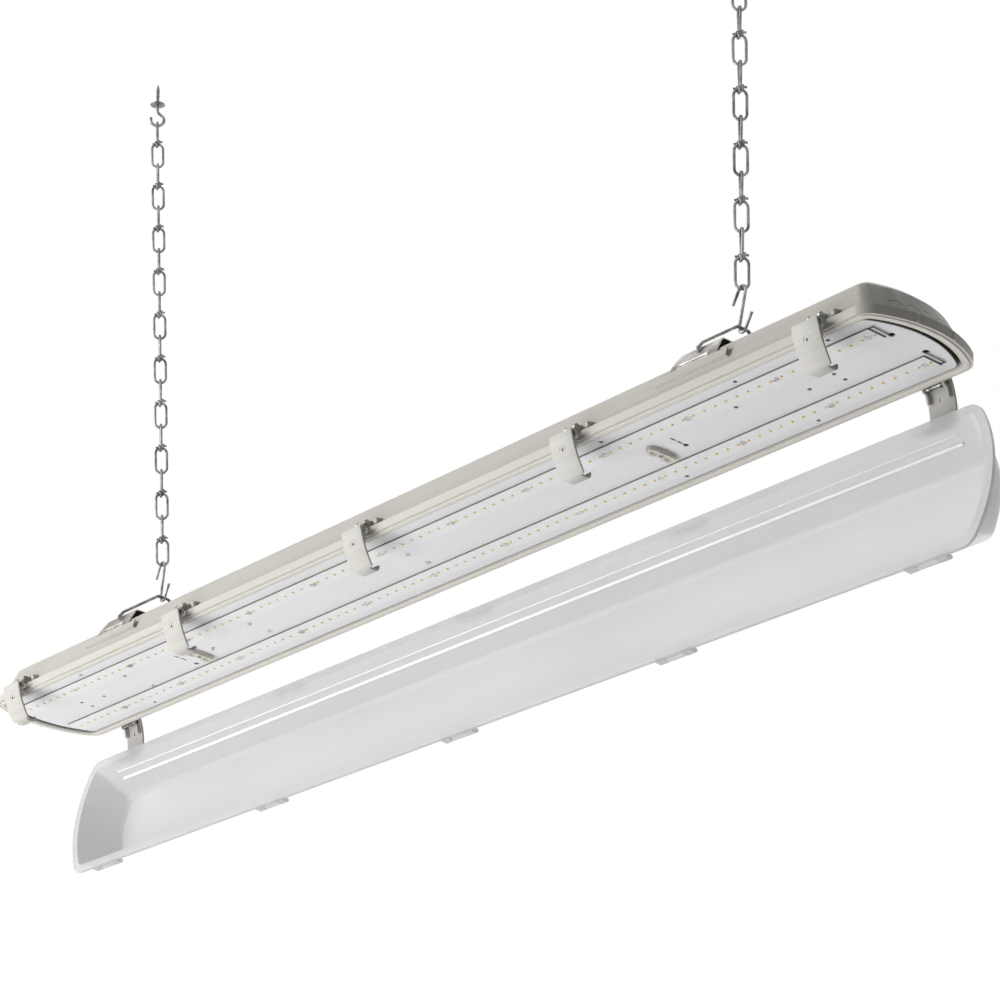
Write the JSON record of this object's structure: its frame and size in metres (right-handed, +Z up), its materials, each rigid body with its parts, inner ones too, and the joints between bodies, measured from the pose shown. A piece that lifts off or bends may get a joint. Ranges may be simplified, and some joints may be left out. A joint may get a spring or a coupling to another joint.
{
  "type": "hanging shop light",
  "caption": "Long gasketed light hung from the ceiling on two knotted chains, its side latches open and its frosted lens hanging from the end latches.",
  "frame": {"origin": "on the ceiling plane, midway between the two ceiling hooks", "axes": "+X along the light, +Y to the side the open lens hangs on, +Z up"},
  "size_m": [1.276, 0.1736, 0.8348],
  "materials": {
    "zinc_wire": "zinc plated",
    "hook_wire": "bright",
    "bail_wire": "satin",
    "stainless": "satin",
    "lever": "satin",
    "housing_grey": "satin",
    "gasket": "matt",
    "hub_grey": "satin",
    "tray_white": "satin",
    "board_white": "satin",
    "emitter": "gloss",
    "screw_zinc": "zinc plated",
    "driver_case": "satin",
    "terminal": "matt",
    "ground_green": "satin",
    "lead_black": "satin",
    "lead_white": "satin",
    "wing_white": "satin",
    "lens": "frosted"
  },
  "bodies": {
    "ceiling_hooks": {"left_ceiling_hook": "zinc_wire", "right_ceiling_hook": "zinc_wire"},
    "chains": {"left_chain": "zinc_wire", "right_chain": "zinc_wire", "left_s_hook": "hook_wire", "right_s_hook": "hook_wire"},
    "light": {"left_bail": "bail_wire", "right_bail": "bail_wire", "left_bracket": "stainless", "right_bracket": "stainless", "housing": "housing_grey", "gasket": "gasket", "conduit_hub": "hub_grey", "hub_locknut": "hub_grey", "latch_pins": "stainless", "far_link_2": "stainless", "far_link_3": "stainless", "far_link_4": "stainless"},
    "tray": {"gear_tray": "tray_white", "near_board": "board_white", "far_board": "board_white", "near_emitters": "emitter", "far_emitters": "emitter", "board_screws": "screw_zinc", "driver": "driver_case", "driver_screws": "screw_zinc", "terminal_block": "terminal", "ground_screw": "ground_green", "board_leads": "lead_black", "driver_leads": "lead_white"},
    "left_turn": {"left_turn_latch": "wing_white"},
    "right_turn": {"right_turn_latch": "wing_white"},
    "far_end_links": {"far_link_1": "stainless", "far_link_5": "stainless"},
    "far_end_levers": {"far_lever_1": "lever", "far_lever_5": "lever"},
    "lens": {"lens": "lens"},
    "near_link_1": {"near_link_1": "stainless"},
    "near_lever_1": {"near_lever_1": "lever"},
    "near_link_2": {"near_link_2": "stainless"},
    "near_lever_2": {"near_lever_2": "lever"},
    "near_link_3": {"near_link_3": "stainless"},
    "near_lever_3": {"near_lever_3": "lever"},
    "near_link_4": {"near_link_4": "stainless"},
    "near_lever_4": {"near_lever_4": "lever"},
    "near_link_5": {"near_link_5": "stainless"},
    "near_lever_5": {"near_lever_5": "lever"},
    "far_lever_2": {"far_lever_2": "lever"},
    "far_lever_3": {"far_lever_3": "lever"},
    "far_lever_4": {"far_lever_4": "lever"}
  },
  "joints": [
    {"name": "sway", "type": "hinge", "parent": "ceiling_hooks", "child": "chains", "pos_m": [0, 0, -0.02425], "axis": [1, 0, 0], "range_deg": [-25, 25]},
    {"name": "tilt", "type": "hinge", "parent": "chains", "child": "light", "pos_m": [0, 0, -0.57295], "axis": [1, 0, 0], "range_deg": [-18, 18]},
    {"name": "near_latch_1", "type": "hinge", "parent": "light", "child": "near_link_1", "pos_m": [-0.566, -0.07005, -0.63195], "axis": [-1, 0, 0], "range_deg": [0, 128]},
    {"name": "near_lever_1_turn", "type": "hinge", "parent": "near_link_1", "child": "near_lever_1", "pos_m": [-0.566, -0.07713, -0.64102], "axis": [-1, 0, 0], "range_deg": [-109, 0]},
    {"name": "near_latch_2", "type": "hinge", "parent": "light", "child": "near_link_2", "pos_m": [-0.283, -0.07005, -0.63195], "axis": [-1, 0, 0], "range_deg": [0, 128]},
    {"name": "near_lever_2_turn", "type": "hinge", "parent": "near_link_2", "child": "near_lever_2", "pos_m": [-0.283, -0.07713, -0.64102], "axis": [-1, 0, 0], "range_deg": [-109, 0]},
    {"name": "near_latch_3", "type": "hinge", "parent": "light", "child": "near_link_3", "pos_m": [0, -0.07005, -0.63195], "axis": [-1, 0, 0], "range_deg": [0, 128]},
    {"name": "near_lever_3_turn", "type": "hinge", "parent": "near_link_3", "child": "near_lever_3", "pos_m": [0, -0.07713, -0.64102], "axis": [-1, 0, 0], "range_deg": [-109, 0]},
    {"name": "near_latch_4", "type": "hinge", "parent": "light", "child": "near_link_4", "pos_m": [0.283, -0.07005, -0.63195], "axis": [-1, 0, 0], "range_deg": [0, 128]},
    {"name": "near_lever_4_turn", "type": "hinge", "parent": "near_link_4", "child": "near_lever_4", "pos_m": [0.283, -0.07713, -0.64102], "axis": [-1, 0, 0], "range_deg": [-109, 0]},
    {"name": "near_latch_5", "type": "hinge", "parent": "light", "child": "near_link_5", "pos_m": [0.566, -0.07005, -0.63195], "axis": [-1, 0, 0], "range_deg": [0, 128]},
    {"name": "near_lever_5_turn", "type": "hinge", "parent": "near_link_5", "child": "near_lever_5", "pos_m": [0.566, -0.07713, -0.64102], "axis": [-1, 0, 0], "range_deg": [-109, 0]},
    {"name": "far_lever_2_fold", "type": "hinge", "parent": "light", "child": "far_lever_2", "pos_m": [-0.283, 0.0613, -0.63489], "axis": [-1, 0, 0], "range_deg": [0, 188]},
    {"name": "far_lever_3_fold", "type": "hinge", "parent": "light", "child": "far_lever_3", "pos_m": [0, 0.0613, -0.63489], "axis": [-1, 0, 0], "range_deg": [0, 188]},
    {"name": "far_lever_4_fold", "type": "hinge", "parent": "light", "child": "far_lever_4", "pos_m": [0.283, 0.0613, -0.63489], "axis": [-1, 0, 0], "range_deg": [0, 188]},
    {"name": "far_end_latches", "type": "hinge", "parent": "light", "child": "far_end_links", "pos_m": [0, 0.05625, -0.64523], "axis": [1, 0, 0], "range_deg": [0, 128]},
    {"name": "far_end_levers_turn", "type": "hinge", "parent": "far_end_links", "child": "far_end_levers", "pos_m": [0, 0.0613, -0.65556], "axis": [1, 0, 0], "range_deg": [-146.3, 0]},
    {"name": "lens_swing", "type": "hinge", "parent": "far_end_levers", "child": "lens", "pos_m": [0, 0.0613, -0.69047], "axis": [-1, 0, 0], "range_deg": [0, 67.71]},
    {"name": "tray_drop", "type": "slide", "parent": "light", "child": "tray", "axis": [0, 0.1045, 0.9945], "range_m": [-0.024, 0]},
    {"name": "left_turn_latch", "type": "hinge", "parent": "tray", "child": "left_turn", "pos_m": [-0.34, -0.00826, -0.65152], "axis": [0, 0.1045, 0.9945], "range_deg": [0, 90]},
    {"name": "right_turn_latch", "type": "hinge", "parent": "tray", "child": "right_turn", "pos_m": [0.324, -0.00826, -0.65152], "axis": [0, 0.1045, 0.9945], "range_deg": [0, 90]}
  ],
  "couplings": [
    {"joint": "near_lever_1_turn", "follows": "near_latch_1", "ratio": -0.85156},
    {"joint": "near_lever_2_turn", "follows": "near_latch_2", "ratio": -0.85156},
    {"joint": "near_lever_3_turn", "follows": "near_latch_3", "ratio": -0.85156},
    {"joint": "near_lever_4_turn", "follows": "near_latch_4", "ratio": -0.85156},
    {"joint": "near_lever_5_turn", "follows": "near_latch_5", "ratio": -0.85156},
    {"joint": "far_end_levers_turn", "follows": "far_end_latches", "ratio": -1.1429}
  ]
}
